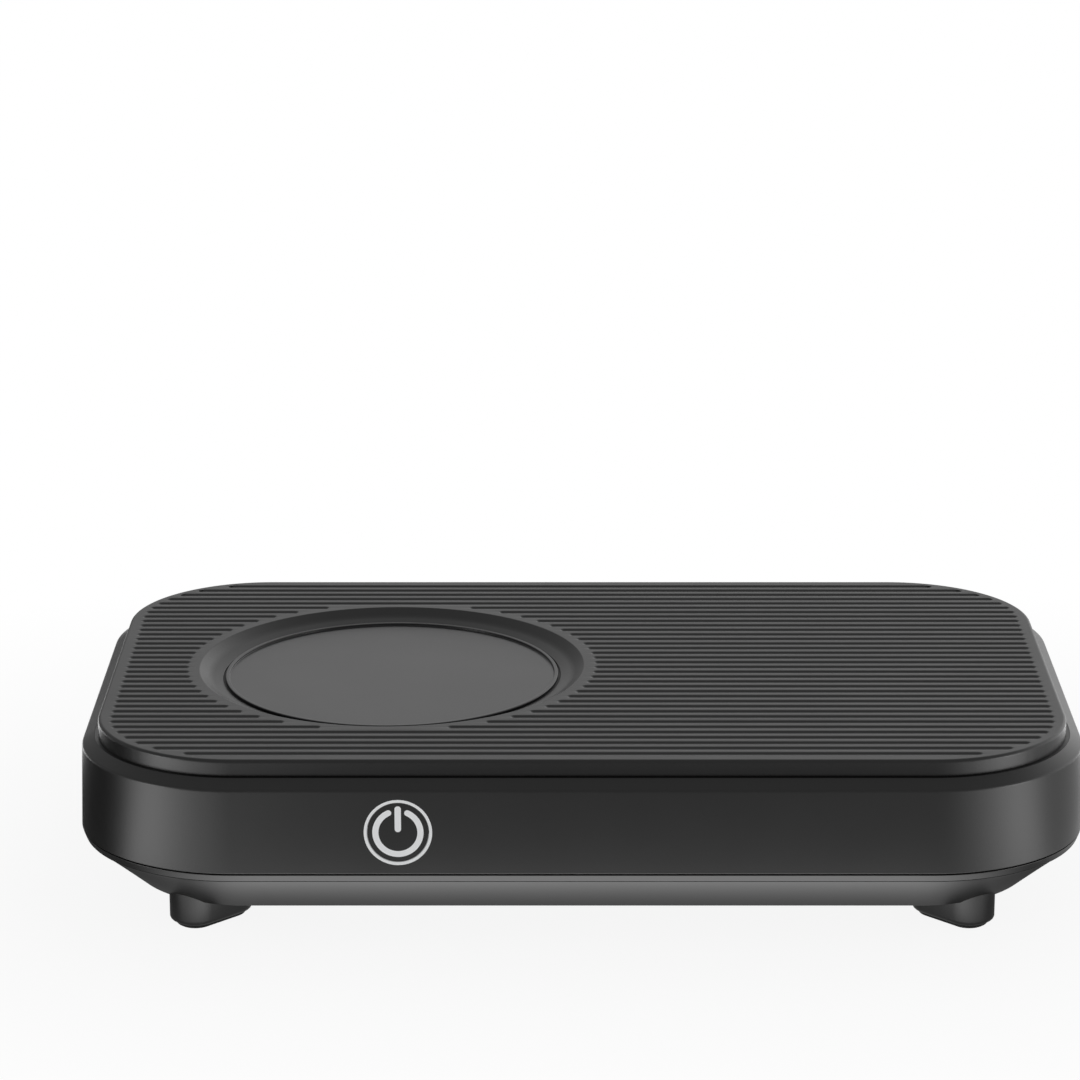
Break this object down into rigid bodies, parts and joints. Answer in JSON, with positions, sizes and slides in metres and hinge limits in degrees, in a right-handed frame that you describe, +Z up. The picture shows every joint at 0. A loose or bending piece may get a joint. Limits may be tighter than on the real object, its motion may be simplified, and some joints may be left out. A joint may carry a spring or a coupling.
{
  "type": "electric mug warmer with wireless charging pad",
  "caption": "Rounded rectangular desk base with a ribbed top: a dished heated recess for a mug on the left, a flat wireless charging area on the right, a power button in front.",
  "frame": {"origin": "on the ground, under the middle of the base", "axes": "+X along the long side, from the mug recess to the charging area; +Z up; the power button faces -Y"},
  "size_m": [0.2108, 0.133, 0.0405],
  "materials": {
    "cover": "fine satin moulded ABS",
    "housing": "fine satin moulded ABS",
    "bottom": "fine satin moulded ABS",
    "rubber": "matte rubber",
    "steel": "zinc plated",
    "plate": "black coated aluminium",
    "silicone": "silicone rubber",
    "heater": "etched foil in silicone rubber",
    "felt": "glass fibre felt",
    "bracket": "pressed galvanised sheet",
    "ceramic": "moulded",
    "copper": "enamelled copper wire",
    "ferrite": "sintered ferrite",
    "inner_plastic": "natural nylon",
    "circuit_board": "solder mask on glass epoxy",
    "chip": "epoxy",
    "inductor": "pressed iron powder",
    "capacitor": "aluminium can",
    "film": "box film capacitor",
    "socket": "moulded",
    "jack": "moulded",
    "nickel": "nickel plated",
    "lens": "milky translucent",
    "cap": "fine satin",
    "led": "clear epoxy",
    "switch": "moulded",
    "wire": "silicone sleeve",
    "cable": "flat ribbon"
  },
  "bodies": {
    "base": {"top_cover": "cover", "housing": "housing", "bottom_cover": "bottom", "foot_pads": "rubber", "housing_screws": "steel", "heating_plate": "plate", "plate_gasket": "silicone", "heater_element": "heater", "insulation_pad": "felt", "heater_bracket": "bracket", "heater_screws": "steel", "thermal_cutoff": "ceramic", "temperature_sensor": "chip", "heater_leads": "wire", "sensor_lead": "cable", "charging_coil": "copper", "ferrite_disc": "ferrite", "coil_tray": "inner_plastic", "coil_tray_screws": "steel", "coil_leads": "copper", "control_board": "circuit_board", "control_chips": "chip", "power_inductors": "inductor", "filter_capacitors": "capacitor", "resonant_capacitors": "film", "power_transistors": "chip", "lead_sockets": "socket", "board_screws": "steel", "dc_jack_body": "jack", "dc_jack_pin": "nickel", "dc_jack_spring": "nickel", "ring_light_guide": "lens", "button_board": "circuit_board", "button_board_screws": "steel", "indicator_leds": "led", "switch_body": "switch", "button_socket": "socket", "button_cable": "cable"},
    "button": {"power_button_cap": "cap", "glyph_lens": "lens"},
    "plunger": {"switch_plunger": "switch"}
  },
  "joints": [
    {"name": "power_button", "type": "slide", "parent": "base", "child": "button", "axis": [0, 1, 0], "range_m": [0, 0.0005], "stiffness_N_per_m": 2000},
    {"name": "switch_plunger", "type": "slide", "parent": "base", "child": "plunger", "axis": [0, 1, 0], "range_m": [0, 0.0007]}
  ],
  "couplings": [
    {"joint": "switch_plunger", "follows": "power_button", "ratio": 1}
  ]
}
